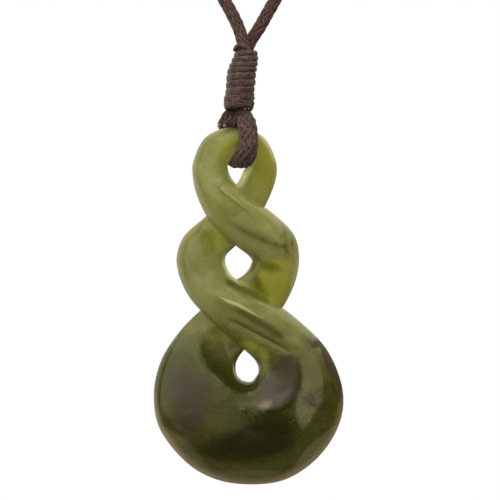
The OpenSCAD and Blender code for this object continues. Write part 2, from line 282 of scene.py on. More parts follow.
# Right-hand rims of the top and middle loops, which the bright surround shines through
RIM_LINES = [
    (1, 0.7, 0.7, [
        (2.9, -2.6, 0.2), (3.7, -4.4, 0.7), (4, -6.1, 0.9), (3.8, -7.6, 0.8), (3.2, -9.4, 0.4),
    ]),
    (1, 0.8, 0.8, [
        (6.5, -15.4, 0.2), (7, -17, 0.8), (7.1, -18.6, 1), (6.6, -21.6, 0.9), (5.8, -23.8, 0.4),
    ]),
]

# The light at the rim of the round bottom: how far in it comes, how softly it fades, the heights
# between which it grows, how many rows of each run it follows, and how many sections lie between
# its points
RIM_DEPTH = 1.2
RIM_SOFTNESS = 1.5
RIM_FADE = (-35.5, -39.5)
BOTTOM_ROWS = 5
RIM_STEP = 4

# Soft ovals on the stone's face, and at the end on the cord, that have a colour of their own. A row
# is an oval's middle, X and Z, its half width and half height, how far it is turned in degrees, how
# far out it starts and where it is full, as shares of its size, and its weight.
OVALS = {
    # Clearer, yellower stone where a run goes under the other, with painted light on the lit side
    # of each loop, and painted light lifting the shade between the runs at the bottom hole's tip
    "clear": [
        (4.2, -6.4, 4, 6, 0, 1.35, 0.5, 1), (-3.2, -3.6, 1.5, 3, 20, 1.35, 0.5, 0.5),
        (-2.3, -5.2, 1.3, 3.2, 0, 1.3, 0.5, 0.6), (-4.5, -15.7, 2.7, 2.6, 20, 1.4, 0.4, 0.5),
        (4, -21.6, 4, 3.4, 0, 1.3, 0.5, 1), (-4.6, -28.6, 2.6, 1.9, 35, 1.5, 0.2, 0.44),
        (1.2, -31.2, 2.3, 1.2, 25, 1.35, 0.5, 0.4), (2.6, -33.2, 1.3, 1.7, 0, 1.5, 0.2, 0.15),
        (-0.6, -30.2, 1.8, 1.1, 30, 1.5, 0.2, 0.3),
    ],
    # Deeper green stone on the crossings, beside the middle loop and at the upper left
    "deeper": [
        (-7.4, -18.4, 2.2, 4, 0, 1.4, 0.3, 1), (-1, -12.6, 2.8, 1.5, 40, 1.4, 0.3, 1),
        (-3.2, -22.4, 2.6, 1.5, 30, 1.4, 0.3, 1.3), (0.2, -21.3, 1.8, 1, 25, 1.5, 0.2, 1.2),
        (-6.3, -15.2, 1.4, 1.8, 0, 1.5, 0.2, 1.2), (5.2, -31.4, 1.9, 1.1, 20, 1.5, 0.2, 1.5),
        (-6.1, -3.2, 1.6, 2.6, 30, 1.4, 0.3, 1.2),
    ],
    # Milkier stone along the runs and beside the holes, with painted reflections on the left of the
    # middle loop and at the left end of the first crossing
    "milky_and_reflection": [
        (-6, -24, 1.8, 2.6, -20, 1.4, 0.3, 1), (-7.6, -22, 1, 2.2, -25, 1.4, 0.3, 1),
        (-5, -12.5, 0.8, 1.6, -30, 1.4, 0.3, 1), (6.3, -20.4, 0.9, 4.2, 5, 1.4, 0.3, 1),
        (2.2, -9.1, 1.2, 1.6, 0, 1.5, 0.2, 1), (2.2, -33.4, 0.8, 1.6, 0, 1.5, 0.2, 1),
        (5.4, -29, 2.4, 1, 35, 1.5, 0.2, 0.6), (3.4, -2.8, 1, 2, -25, 1.4, 0.3, 1),
        (-1.2, -15.9, 2.4, 0.8, 25, 1.4, 0.3, 1),
    ],
    # A milky green streak down the right of the bottom loop, partly a painted reflection of the
    # soft box, and a painted reflection that makes its lower edge lighter
    "pale": [
        (8.7, -34, 1.6, 5.6, -10, 1.3, 0.6, 1), (8, -38.4, 1.5, 4.3, 10, 1.3, 0.5, 1),
        (10, -44.8, 5.4, 1.5, -42, 1.4, 0.4, 1), (-9, -45, 5, 1.5, 43, 1.4, 0.4, 0.7),
        (0.5, -48.6, 9, 1.2, 0, 1.4, 0.4, 0.5),
    ],
    # The darkest stone, low in the bottom loop
    "deep": [
        (3.2, -42.3, 5.3, 2.9, -10, 1.5, 0.2, 1), (0.6, -37.6, 2.2, 1.2, 0, 1.5, 0.2, 0.4),
        (-1.4, -44.8, 8.2, 2.5, 0, 1.5, 0.2, 1),
    ],
    # Brown clouds in the round bottom, whose places drift, and a brown spot that stays in place
    "brown": [
        (-8.4, -36.2, 3.7, 2.8, 0, 1.4, 0.3, 1), (-8.2, -40.6, 2.1, 3.1, 0, 1.4, 0.3, 1),
        (-4.6, -39, 3.8, 2.6, 0, 1.5, 0.2, 0.42), (5.1, -33.7, 2.1, 2.5, -15, 1.5, 0.2, 1),
        (4.2, -37.2, 3.4, 2.4, 0, 1.4, 0.3, 1), (9.4, -38.4, 1.4, 2.4, 20, 1.4, 0.3, 0.7),
    ],
    "brown_spot": [(8.6, -30.4, 1.7, 1.5, 20, 1.6, 0.1, 0.6)],
    # A rusty skin on the right edge of the bottom loop, and a rusty streak on the middle loop
    "rust": [(12, -33.3, 1.5, 4.6, -20, 1.4, 0.4, 1), (10.4, -31, 1.3, 2.3, -40, 1.5, 0.2, 1.1)],
    "rust_streak": [(6.05, -16.8, 0.24, 1.7, -5, 1.6, 0.2, 0.5)],
    # Painted highlight on the lip under the bottom hole, and a small painted glint beside it
    "lip_highlight": [(2.4, -38.7, 1.7, 1.1, -20, 1.5, 0, 1), (-0.8, -39.25, 0.6, 0.14, 14, 1.4, 0.3, 1)],
    # Painted shade on the cord under the binding and where the cord bends into the hole
    "painted_cord_shade": [(-1.1, 2, 2.3, 0.9, 0, 1.3, 0.4, 0.85), (-0.9, -5, 2.4, 1.3, 0, 1.4, 0.3, 0.5)],
}

# How deep the ovals are, front to back, so that they go right through the stone
OVAL_DEPTH = 9

# How the stone's stains and its painted light, highlights and reflections set in, for some kinds of
# ovals and for the thin layer of painted light and highlights: how ragged the edge is, the amounts
# that give a trace and the full colour, and that colour's share
STAINS_AND_PAINTED_LIGHT = {
    "clear": (0.35, 0.15, 0.75, 0.8),
    "pale": (0.3, 0.25, 0.7, 0.7),
    "deep": (0.15, 0.1, 1.0, 0.92),
    "brown": (1.1, 0.25, 0.75, 0.85),
    "thin": (0.4, 0.1, 0.9, 0.8),
    "lip_highlight": (0.7, 0.3, 0.9, 0.7),
}

# The cord's route as in the CAD, in metres: beside the neck, then down the front of the stone,
# through its hole and up its back. The places at the stone are taken from the top of its rim, and
# end with the cord's radius and how far its section is turned from facing out to facing sideways.
NECK_HALF = [
    (0.022, -0.0025, -0.001),
    (0.042, -0.013, -0.004),
    (0.056, -0.030, -0.010),
    (0.063, -0.051, -0.022),
    (0.064, -0.070, -0.040),
    (0.060, -0.085, -0.063),
    (0.051, -0.097, -0.091),
    (0.039, -0.106, -0.119),
    (0.026, -0.112, -0.145),
    (0.015, -0.115, -0.167),
]
FRONT_RUN = [
    (-0.0090, -0.0002, 0.0274, 0.0009, 0.0),
    (-0.0034, -0.0004, 0.0177, 0.0009, 0.1),
    (-0.0015, -0.0007, 0.0140, 0.0009, 0.3),
    (-0.0008, -0.0010, 0.0116, 0.0009, 0.6),
    (-0.0007, -0.0010, 0.0094, 0.0009, 0.9),
    (-0.0010, -0.0010, 0.0066, 0.0009, 1.0),
    (-0.0012, -0.0010, 0.0038, 0.0009, 1.0),
    (-0.0010, -0.0012, 0.0022, 0.0009, 1.0),
    (-0.0003, -0.0027, 0.0005, 0.0012, 1.0),
    (0.0000, -0.0037, -0.0013, 0.0012, 1.0),
    (0.0000, -0.00385, -0.0031, 0.0012, 1.0),
    (-0.0004, -0.00315, -0.0045, 0.0012, 1.0),
    (-0.0012, -0.00155, -0.0048, 0.001075, 1.0),
]
HOLE_ROW = (-0.00145, 0.0, -0.0047, 0.001075, 1.0)
BACK_RUN = [
    (-0.0016, 0.0015, -0.0047, 0.001075, 1.0),
    (-0.0020, 0.0030, -0.0043, 0.0012, 1.0),
    (-0.0025, 0.0038, -0.0030, 0.0012, 1.0),
    (-0.0029, 0.0037, -0.0013, 0.0012, 1.0),
    (-0.0028, 0.0027, 0.0005, 0.0012, 1.0),
    (-0.0018, 0.0012, 0.0022, 0.0009, 1.0),
    (-0.0014, 0.0010, 0.0038, 0.0009, 1.0),
    (-0.0010, 0.0010, 0.0066, 0.0009, 1.0),
    (-0.0005, 0.0010, 0.0094, 0.0009, 0.9),
    (0.0001, 0.0010, 0.0116, 0.0009, 0.6),
    (0.0016, 0.0007, 0.0140, 0.0009, 0.3),
    (0.0037, 0.0004, 0.0177, 0.0009, 0.1),
    (0.0092, 0.0002, 0.0274, 0.0009, 0.0),
]

# The middle of the neck, which the cord's section faces away from, and the cord's thickness
NECK_MIDDLE = np.array([0.0, -0.060, 0.0])
CORD_DIAMETER = 0.0018
CORD_RADIUS = CORD_DIAMETER / 2

# Places of the cord's dense route from one row to the next, how many of them lie between points of
# the coarser loop that is taken from it, and how far ahead and behind its heading is taken
ROUTE_STEPS = 60
PATH_STEP = 20
LOOK_AHEAD = 0.0002

# How much the strands stand proud where the braid opens in its bend over the stone, and how much
# the hole squeezes the cord, within how many millimetres
BEND_SWELL = 0.09
HOLE_PINCH = 0.2
HOLE_REACH = 1.6

# The braid, with sizes against the cord's radius: strands each way, how far out they lie and how
# far they weave in and out, half a strand's thickness and its flat sides, and the core's radius,
# sections and flat sides
STRANDS_EACH_WAY = 8
STRAND_LIFT = 0.80
WEAVE = 0.07
STRAND_THICKNESS = 0.17
STRAND_SIDES = 6
CORE_SHARE = 0.76
CORE_SECTIONS = 420
CORE_SIDES = 10

# Sections of a strand each time it goes round, on the neck and near the stone, and how far from the
# stone the fine ones reach
COARSE = 18
FINE = 36
FINE_REACH = 0.045

# The binding, in millimetres over the stone's rim: height, middle, half width and half depth
BINDING = [
    (2.3, -1.42, 1.84, 2.70),
    (2.9, -1.35, 2.00, 2.90),
    (3.6, -1.30, 2.10, 2.95),
    (4.4, -1.25, 1.95, 2.85),
    (5.4, -1.15, 1.98, 2.85),
    (6.4, -1.05, 2.02, 2.88),
    (7.4, -1.00, 2.00, 2.85),
    (8.4, -0.72, 1.93, 2.80),
    (9.4, -0.44, 1.76, 2.65),
    (10.2, -0.30, 1.57, 2.50),
    (10.9, -0.25, 1.50, 2.40),
]

# How square the binding's oval and a thread's section are, and the inset of the smaller oval that
# the thread faces away from
WRAP_POWER = 2.5
THREAD_POWER = 2.3
INNER_INSET = 1.0

# Heights, in millimetres, of the grooves between the turns of thread at the front, how much wider
# than its place each turn is, how deep it lies against half the thread's thickness, its sections
# and flat sides, and how many turns the thread goes on before the first and after the last
TURN_LINES = [2.45, 3.45, 4.5, 5.45, 6.42, 7.47, 8.2, 8.95, 9.7, 10.5]
TURN_LAP = 1.08
TURN_SINK = 0.75
TURN_SECTIONS = 48
TURN_SIDES = 10
LEAD_IN = 0.25
LEAD_OUT = 0.2

# Turns that slant and cross low on the binding: middle height, slope, wave and the wave's start
SLANTED_TURNS = [
    (4.10, 0.38, 0.12, 0.0), (3.55, -0.48, 0.15, 2.0), (4.35, -0.30, 0.10, 4.0),
    (3.10, 0.30, 0.20, 5.0), (3.80, 0.55, -0.22, 6.0), (2.85, -0.22, -0.12, 7.0),
]

# Their half width, how thick they are against the thread, how deep they lie and how much that
# wavers against half its thickness, their sections and flat sides, and a radian's length
SLANTED_HALF_WIDTH = 0.21
SLANTED_THICKNESS = 0.75
SLANTED_SINK = 0.35
SLANTED_WAVER = 0.12
SLANTED_SECTIONS = 72
SLANTED_SIDES = 8
ARC = 2.4

# The dark filling under the turns: its lowest and highest sections and how many there are, its flat
# sides, and how deep it lies
FILLING = (2.35, 10.55, 24)
FILLING_SIDES = 28
FILLING_INSET = 0.42

# Tails of the thread tucked in at both sides, its start over the neck, and the place that they
# all face away from
TAILS = [
    [
        (-2.5, -1.0, 4.2), (-2.9, -0.9, 3.7), (-3.05, -0.6, 3.1), (-2.9, -0.4, 2.6),
        (-2.3, -0.2, 2.4),
    ],
    [
        (0.0, -1.6, 4.4), (0.3, -1.7, 3.9), (0.36, -1.7, 3.2), (0.25, -1.6, 2.5),
        (-0.3, -1.4, 2.1),
    ],
    [
        (0.3, -1.6, 10.2), (-0.3, -1.9, 10.8), (-0.9, -1.9, 11.2), (-1.5, -1.6, 11.1),
        (-1.8, -0.9, 10.6),
    ],
]
TAIL_MIDDLE = (-1.3, 0.6, 3.3)

# Sections from one point of a tail to the next and the length between them, and a tail's half
# width, half thickness and flat sides
TAIL_STEPS = 8
TAIL_STEP = 0.1
TAIL_FORM = (0.42, 0.34, 8)

# The cut end, in millimetres from the top of the stone's rim: where its strands fan out to, from
# left to right
CUT_FAN = [
    (-4.15, -1.80, 0.15),
    (-3.75, -2.00, -0.15),
    (-3.10, -2.05, -0.20),
    (-2.40, -2.00, 0.00),
    (-1.80, -1.90, 0.05),
    (-1.20, -1.80, 0.20),
]

# The lowest that each layer of the cut end reaches, so that the stone swings free under it
CUT_FLOORS = (-0.25, 0.35, 0.65)

# Where it leaves the binding at the left of the front layer, and how far from there its right side
# and the next layer are
CUT_TOP = np.array([-2.6, -0.9, 2.7])
CUT_RIGHT = np.array([2.3, 0.0, 0.0])
CUT_BACK = np.array([0.0, 0.55, 0.0])

# The furthest back that the front layer's tips are, and how far back and up the next layer's lie
TIPS_BACK = -1.75
TIP_STEP_BACK = 0.65
TIP_STEP_UP = 0.25

# Strands in each layer, their sections, their half width, half thickness and flat sides, how large
# their last section is left, and the length along them that their filaments are drawn for
CUT_STRANDS = 9
CUT_SECTIONS = 13
CUT_FORM = (0.22, 0.17, 6)
CUT_TAPER = 0.5
CUT_LENGTH = 3

# How far chance moves a strand's tip, the tip's height and the knee that it bends over, how far the
# knee stands out on the front layer, and how far the strand sways
TIP_SCATTER = 0.17
HEIGHT_SCATTER = 0.12
KNEE_SCATTER = 0.24
KNEE_STANDS = np.array([0.0, -0.25, 0.30])
SWAY = 0.1

# Wisps on each strand, their sections, their half width, half thickness and flat sides, how widely
# they spread, their least length and what chance adds to it, how far chance moves their root, how
# far it is sunk in the strand, how far their ends droop, and how far under the layer's floor
WISPS = 5
WISP_SECTIONS = 4
WISP_FORM = (0.025, 0.025, 4)
WISP_SPREAD = 0.75
WISP_LENGTH = 0.22
WISP_MORE = 0.26
ROOT_SCATTER = 0.1
ROOT_SINK = 0.1
WISP_DROOP = np.array([0.0, 0.0, -0.06])
WISP_UNDER = 0.02

# The melted beads on the strands, and two pale beads on the thread's tail that are painted glints,
# with their radius, how dented they are, and how tall they are against their width
MELTED_BEADS_AND_GLINTS = [
    (-4.05, -2.25, 0.12, 0.25),
    (-3.30, -2.45, 0.00, 0.22),
    (-0.46, -2.55, 2.35, 0.14),
    (0.06, -2.50, 2.35, 0.13),
]
BEAD_DENTS = 0.12
BEAD_HEIGHT = 0.75

# The middle of what the camera sees, the place that the lamps point at, and the floor's radius
SEEN_MIDDLE = (0.00021, -0.116, -0.22225)
LIT_MIDDLE = (0, HANG[1], HANG[2] - 0.02)
FLOOR_RADIUS = 0.55

# The lamps: place, size, power as a multiple of the soft lights', colour, and whether the polish
# mirrors them
LAMPS = (
    ("glint", (0.12, -0.60, 0.42), 0.05, 0.02, (1.0, 1.0, 1.0), True),
    ("wash_left", (-0.60, -0.70, 0.35), 0.8, 1.35, (1.0, 0.99, 0.96), False),
    ("wash_front", (0.03, -0.95, -0.10), 0.5, 0.65, (1.0, 0.99, 0.95), False),
    ("wash_right", (0.65, -0.70, 0.42), 0.8, 2.05, (1.0, 0.99, 0.95), False),
)


def eased(rows, steps, before, after):
    """Rows with smooth steps between them, led in and out by a row before and a row after"""
    rows = np.vstack([before, rows, after])
    count = len(rows) - 3
    share = np.arange(count * steps + 1) / steps
    first = np.minimum(share.astype(int), count - 1)
    t = (share - first)[:, None]
    a, b, c, d = (rows[first + k] for k in range(4))
    return (2 * b + (c - a) * t + (2 * a - 5 * b + 4 * c - d) * t**2
            + (3 * b - a - 3 * c + d) * t**3) / 2


def unit(vectors):
    """Vectors of length 1 along the last axis"""
    return vectors / np.linalg.norm(vectors, axis=-1, keepdims=True)


def bulge(value, power):
    """A signed power, for sections that are squarer than an ellipse"""
    return np.sign(value) * np.abs(value) ** (2 / power)


def round_angles(count):
    """Angles spread evenly round a circle"""
    return 2 * math.pi * np.arange(count) / count


def lengths_along(places):
    """How far along a line each of its places is"""
    return np.concatenate([[0], np.cumsum(np.linalg.norm(np.diff(places, axis=0), axis=1))])


def looked_up(at, known, table):
    """A table's rows at places between those that it is known at"""
    return np.stack([np.interp(at, known, column) for column in table.T], axis=-1)


def lofted(mesh, rings, closed=False, along=None):
    """Lays the rows of a grid on rings, welds its sides together, and closes or caps its ends

    Where along is given, each point keeps its place round the ring and its length along the tube
    in the layer named lay, which the material of a thread follows.
    """
    rings = np.concatenate([rings, rings[:, :1]], axis=1)
    if closed:
        rings = np.concatenate([rings, rings[:1]])
    count, sides = rings.shape[:2]
    if along is not None:
        layers = mesh.verts.layers.float_vector
        lay = layers.get("lay") or layers.new("lay")
    grid = bmesh.ops.create_grid(mesh, x_segments=sides - 1, y_segments=count - 1, size=1.0)
    made = grid["verts"]
    for vert, place in zip(made, rings.reshape(-1, 3)):
        vert.co = place
    if along is not None:
        angles = np.linspace(0, 2 * math.pi, sides)
        for i, vert in enumerate(made):
            angle = angles[i % sides]
            vert[lay] = (math.cos(angle), math.sin(angle), along[(i // sides) % len(along)])
    bmesh.ops.remove_doubles(mesh, verts=made, dist=WELD)
    if not closed:
        rims = [edge for edge in mesh.edges if edge.is_boundary]
        bmesh.ops.holes_fill(mesh, edges=rims, sides=0)


def strand_rings(place, outward, half_width, half_thick, sides, closed=False, power=THREAD_POWER):
    """Flattened sections of a strand along its places, lying on what is under it"""
    if closed:
        run = unit(np.roll(place, -1, axis=0) - np.roll(place, 1, axis=0))
    else:
        run = unit(np.gradient(place, axis=0))
    across = unit(np.cross(run, outward))
    face = np.cross(across, run)
    psi = round_angles(sides)
    half_width = np.broadcast_to(half_width, len(place))
    half_thick = np.broadcast_to(half_thick, len(place))
    return (
        place[:, None]
        + (half_width[:, None] * bulge(np.cos(psi), power))[..., None] * across[:, None]
        + (half_thick[:, None] * np.sin(psi))[..., None] * face[:, None]
    )


def hang(mesh):
    """Turns a bmesh's millimetres from the top of the stone's rim into its place in metres"""
    bmesh.ops.scale(mesh, vec=(MM,) * 3, verts=mesh.verts[:])
    bmesh.ops.translate(mesh, vec=Vector(HANG), verts=mesh.verts[:])


def added(name, mesh):
    """Makes a bmesh an object in the scene, and frees it"""
    data = bpy.data.meshes.new(name)
    mesh.to_mesh(data)
    mesh.free()
    made = bpy.data.objects.new(name, data)
    bpy.context.scene.collection.objects.link(made)
    return made


def finished(name, mesh, body, stands_for, material):
    """Makes a finished piece's object from a bmesh, hangs it on its body and hides its CAD part"""
    bmesh.ops.recalc_face_normals(mesh, faces=mesh.faces[:])
    for face in mesh.faces:
        face.smooth = True
    made = added(name, mesh)
    made.data.materials.append(material)
    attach(made, body)
    if stands_for:
        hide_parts(stands_for)
    return made


class Wire:
    """An output of a node, which adds Math nodes where it is used in an expression"""

    def __init__(self, shader, socket):
        self.shader = shader
        self.socket = socket

    def math(self, operation, first, second):
        return self.shader.node("ShaderNodeMath", {"operation": operation}, {0: first, 1: second})

    def __add__(self, other):
        return self.math("ADD", self, other)

    def __radd__(self, other):
        return self.math("ADD", other, self)

    def __sub__(self, other):
        return self.math("SUBTRACT", self, other)

    def __rsub__(self, other):
        return self.math("SUBTRACT", other, self)

    def __mul__(self, other):
        return self.math("MULTIPLY", self, other)

    def __rmul__(self, other):
        return self.math("MULTIPLY", other, self)

    def __truediv__(self, other):
        return self.math("DIVIDE", self, other)

    def __rtruediv__(self, other):
        return self.math("DIVIDE", other, self)


class Shader:
    """The nodes of a material or of the world, each added by one method"""

    def __init__(self, tree):
        self.tree = tree
        tree.nodes.clear()

    def node(self, kind, settings=None, values=None, output=0):
        """Adds a node, sets it, then fills its sockets with values or links, and gives an output"""
        node = self.tree.nodes.new(kind)
        for name, setting in (settings or {}).items():
            setattr(node, name, setting)
        for name, value in (values or {}).items():
            if isinstance(value, Wire):
                self.tree.links.new(value.socket, node.inputs[name])
            else:
                node.inputs[name].default_value = value
        return Wire(self, node.outputs[output]) if node.outputs else None

    def vectors(self, operation, values, output=0):
        """A sum on vectors or colours"""
        return self.node("ShaderNodeVectorMath", {"operation": operation}, values, output)

    def parts(self, vector):
        """The X, Y and Z of a vector"""
        first = self.node("ShaderNodeSeparateXYZ", {}, {0: vector})
        return [Wire(self, socket) for socket in first.socket.node.outputs]

    def painted(self, layer, output="Fac"):
        """What a layer of the mesh holds"""
        return self.node("ShaderNodeAttribute", {"attribute_name": layer}, {}, output)

    def ease(self, value, low, high, bottom=0.0, top=1.0):
        """A smooth rise from bottom to top while a value goes from low to high"""
        values = {
            "Value": value, "From Min": low, "From Max": high, "To Min": bottom, "To Max": top}
        return self.node("ShaderNodeMapRange", {"interpolation_type": "SMOOTHSTEP"}, values)

    def mix(self, share, first, second, blend="MIX"):
        """One colour turning into another"""
        settings = {"data_type": "RGBA", "blend_type": blend}
        first, second = (
            shade if isinstance(shade, Wire) else (*shade, 1.0) for shade in (first, second))
        return self.node("ShaderNodeMix", settings, {0: share, 6: first, 7: second}, 2)

    def noise(self, vector, scale, detail=3.0, roughness=0.5, output=0):
        """A cloudy pattern"""
        values = {"Vector": vector, "Scale": scale, "Detail": detail, "Roughness": roughness}
        return self.node("ShaderNodeTexNoise", {}, values, output)

    def placed(self, vector, location=(0, 0, 0), rotation=(0, 0, 0), scale=(1, 1, 1), kind="POINT"):
        """A pattern's coordinates, moved, turned and scaled"""
        values = {"Vector": vector, "Location": location, "Rotation": rotation, "Scale": scale}
        return self.node("ShaderNodeMapping", {"vector_type": kind}, values)

    def ovals(self, vector, rows):
        """Soft ovals as in the table of ovals, added together, each as high as its weight"""
        total = None
        for x, z, width, height, turn, low, high, weight in rows:
            size = (width, OVAL_DEPTH, height)
            inside = self.placed(vector, (x, 0, z), (0, math.radians(turn), 0), size, "TEXTURE")
            oval = self.ease(self.vectors("LENGTH", {0: inside}, 1), low, high)
            if weight != 1:
                oval = oval * weight
            total = total + oval if total else oval
        return total

    def bump(self, strength, distance, height, under=None):
        """Relief so many millimetres high, on the relief under it"""
        values = {"Strength": strength, "Distance": distance * MM, "Height": height}
        if under:
            values["Normal"] = under
        return self.node("ShaderNodeBump", {}, values)


def new_material(name):
    """An empty node material and its shader"""
    material = bpy.data.materials.new(name)
    material.use_nodes = True
    return material, Shader(material.node_tree)


def surface(shader, values):
    """Ends a material with the Principled shader"""
    settings = {"subsurface_method": "RANDOM_WALK"}
    principled = shader.node("ShaderNodeBsdfPrincipled", settings, values)
    shader.node("ShaderNodeOutputMaterial", {}, {"Surface": principled})


def stone_millimetres(shader):
    """Object coordinates in millimetres from the top of the stone's rim"""
    place = shader.node("ShaderNodeTexCoord", {}, {}, "Object")
    return shader.placed(place, tuple(-HANG / MM), (0, 0, 0), (1 / MM,) * 3)


def greenstone_material(look):
    """Polished nephrite: olive and clear at the top, dark and clouded in the round bottom"""
    material, shader = new_material("greenstone")
    place = stone_millimetres(shader)
    sway = shader.noise(place, 0.16, 3.0, 0.55, "Color")
    sway = shader.vectors("SUBTRACT", {0: sway, 1: (0.5,) * 3})
    sway = shader.vectors("SCALE", {0: sway, "Scale": 6.0})
    drifted = shader.vectors("ADD", {0: place, 1: sway})
    x, _, z = shader.parts(place)
    drift_z = shader.parts(drifted)[2]
    ragged = shader.noise(place, 0.55, 6.0, 0.68)
    fine = shader.noise(place, 1.9, 5.0, 0.7)
    torn = (ragged - 0.5) * 1.5 + (fine - 0.5) * 0.5

    def stained_or_lit(body, kind, amount, colour):
        """The stone's colour, turned to another where a stain or painted light is strong enough"""
        raggedness, trace, full, share = STAINS_AND_PAINTED_LIGHT[kind]
        return shader.mix(
            shader.ease(amount + torn * raggedness, trace, full) * share, body, colour)

    # Lighter stone in the upper loops and dark stone in the round bottom
    depth = shader.ease(drift_z * 0.5 + z * 0.5 + x * 0.18 + torn * 2.5, -35.5, -24.5)
    body = shader.mix(shader.ease(z + torn, -20.0, -8.0), look.moss, look.olive)
    body = shader.mix(depth, look.dark, body)

    # Cloudy bands that run with the twist
    bands = shader.placed(drifted, (0, 0, 0), (0, math.radians(-38), 0), (0.16, 0.3, 0.55))
    bands = shader.noise(bands, 1.0, 5.0, 0.62)
    body = shader.mix(shader.ease(bands, 0.45, 0.7) * depth * 0.5, body, look.cloud)
    greens = shader.ease(shader.noise(drifted, 0.42, 5.0, 0.66), 0.5, 0.64)
    body = shader.mix(greens * shader.ease(depth, 0.0, 1.0, 0.18, 0.42), body, look.green)

    # The ovals, each kind in its own colour
    # Clearer yellow stone, partly painted light on the lit side of each loop and between the runs
    body = stained_or_lit(body, "clear", shader.ovals(place, OVALS["clear"]), look.clear)
    body = shader.mix(shader.ovals(place, OVALS["deeper"]) * 0.4, body, look.green)
    # Milky stone, and painted reflections on the left of the middle loop and the first crossing
    body = shader.mix(shader.ovals(place, OVALS["milky_and_reflection"]) * 0.5, body, look.cloud)
    # Painted reflection: a milky streak that is partly a reflection of the soft box, and a lighter
    # lower edge
    body = stained_or_lit(body, "pale", shader.ovals(place, OVALS["pale"]), look.streak)
    body = stained_or_lit(body, "deep", shader.ovals(place, OVALS["deep"]), look.deep)
    brown = shader.ovals(drifted, OVALS["brown"]) + shader.ovals(place, OVALS["brown_spot"])
    body = stained_or_lit(body, "brown", brown, look.brown)

    # Painted shade: a darker, deeper green tint in the carved hollows and grooves and under ridges
    hollow = shader.ease(shader.painted("painted_shade") + torn * 0.45, 0.08, 0.8)
    shaded = shader.mix(1.0, body, look.hollow, "MULTIPLY")
    body = shader.mix(hollow, body, shaded)

    # Painted light: paler where light comes through the thin stone, painted highlights along the
    # ridges and ripple crests, and light where the surround shines through its walls and rims
    body = stained_or_lit(body, "thin", shader.painted("thin"), look.thin)
    shining = shader.mix(shader.painted("glow"), (0, 0, 0), look.glow)
    shining = shader.mix(shader.painted("rim"), shining, look.rim)

    # The rusty skin, and the painted highlight and glint on the lip
    rust = shader.ovals(drifted, OVALS["rust"]) + shader.ovals(place, OVALS["rust_streak"])
    rusty = shader.ease(rust + torn * 0.6, 0.3, 0.7)
    body = shader.mix(rusty * 0.9, body, look.rust)
    body = stained_or_lit(body, "lip_highlight", shader.ovals(place, OVALS["lip_highlight"]), look.lip_highlight)

    # Fine mineral grain, and pale flecks that also stand for small painted glints
    grit = shader.noise(place, 3.2, 3.0, 0.7)
    grit = (shader.ease(grit, 0.3, 0.7) - 0.5) * shader.ease(depth, 0.0, 1.0, 0.32, 0.12) + 1.0
    body = shader.vectors("SCALE", {0: body, "Scale": grit})
    fleck_and_glint = shader.node("ShaderNodeTexVoronoi", {"feature": "F1"}, {"Vector": place, "Scale": 0.9})
    fleck_and_glint = shader.ease(fleck_and_glint, 0.10, 0.04)
    some = shader.ease(shader.noise(place, 0.5, 2.0), 0.56, 0.64)
    body = shader.mix(fleck_and_glint * some * 0.5, body, look.fleck_and_glint)

    # A polish that is worn in places and dull on the rust, over faint waves and grain
    wear = shader.noise(place, 2.4, 4.0, 0.6)
    rough = shader.ease(wear, 0.3, 0.75, look.gloss - 0.04, look.gloss + 0.07) + rusty * 0.45
    waves = shader.bump(1.0, 0.16, shader.noise(place, 0.22, 2.0, 0.5))
    surface(shader, {
        "Base Color": body,
        "Roughness": rough,
        "Normal": shader.bump(0.2, 0.02, shader.noise(place, 5.0, 4.0, 0.65), waves),
        "Emission Color": shining,
        "Emission Strength": 1.0,
        "IOR": 1.61,
        "Subsurface Weight": 0.4,
        "Subsurface Radius": (1.0, 0.95, 0.35),
        "Subsurface Scale": 0.0012,
    })
    return material


def thread_material(name, look, light, dark, streaks):
    """Waxed thread: fine filaments that run along each strand, lighter in pale specks of wax"""
    material, shader = new_material(name)
    place = stone_millimetres(shader)
    lay = shader.placed(shader.painted("lay", "Vector"), scale=(streaks, streaks, 0.9))
    filaments = shader.noise(lay, 1.0, 4.0, 0.65)
    patches = shader.noise(place, 0.9, 3.0, 0.6)
    fuzz = shader.noise(place, 3.4, 4.0, 0.75)
    specks = shader.noise(place, 2.6, 5.0, 0.75)
    body = shader.mix(shader.ease(filaments * 0.5 + fuzz * 0.5, 0.39, 0.61), dark, light)
    body = shader.mix(shader.ease(patches, 0.45, 0.7) * 0.45, body, look.tint)
    body = shader.mix(shader.ease(specks, 0.58, 0.66) * 0.6, body, look.wax)
    # Painted shade on the cord under the binding and where it bends into the hole
    body = shader.mix(shader.ovals(place, OVALS["painted_cord_shade"]), body, look.frayed_dark)
    surface(shader, {
        "Base Color": body,
        "Roughness": shader.ease(patches, 0.3, 0.7, 0.42, 0.62),
        "Normal": shader.bump(1.0, 0.12, filaments * 0.6 + fuzz * 0.6),
        "IOR": 1.45,
        "Specular IOR Level": 0.25,
        "Sheen Weight": 0.08,
        "Sheen Roughness": 0.5,
    })
    return material


def melted_and_glint_material(look):
    """Cord ends melted hard and pale by a flame, whose colour also makes the painted glints"""
    material, shader = new_material("melted_cord_and_glint")
    place = stone_millimetres(shader)
    blotch = shader.noise(place, 2.6, 4.0, 0.6)
    body = shader.mix(shader.ease(blotch, 0.38, 0.62), look.melted, look.cord_light)
    pits = shader.bump(0.5, 0.05, shader.noise(place, 6.0, 3.0))
    rough = shader.ease(blotch, 0.3, 0.7, 0.22, 0.4)
    surface(shader, {"Base Color": body, "Roughness": rough, "Normal": pits, "IOR": 1.5})
    return material


def metres(name, description, default):
    """A length in metres that the user can change"""
    return FloatProperty(
        name=name, description=description, default=default, subtype="DISTANCE", unit="LENGTH")


def fraction(name, description, default, least):
    """A share that the user can change"""
    return FloatProperty(
        name=name, description=description, default=default, subtype="FACTOR", min=least, max=1)


def colour(name, description, *default):
    """A colour that the user can change"""
    return FloatVectorProperty(name=name, description=description, default=default, subtype="COLOR")


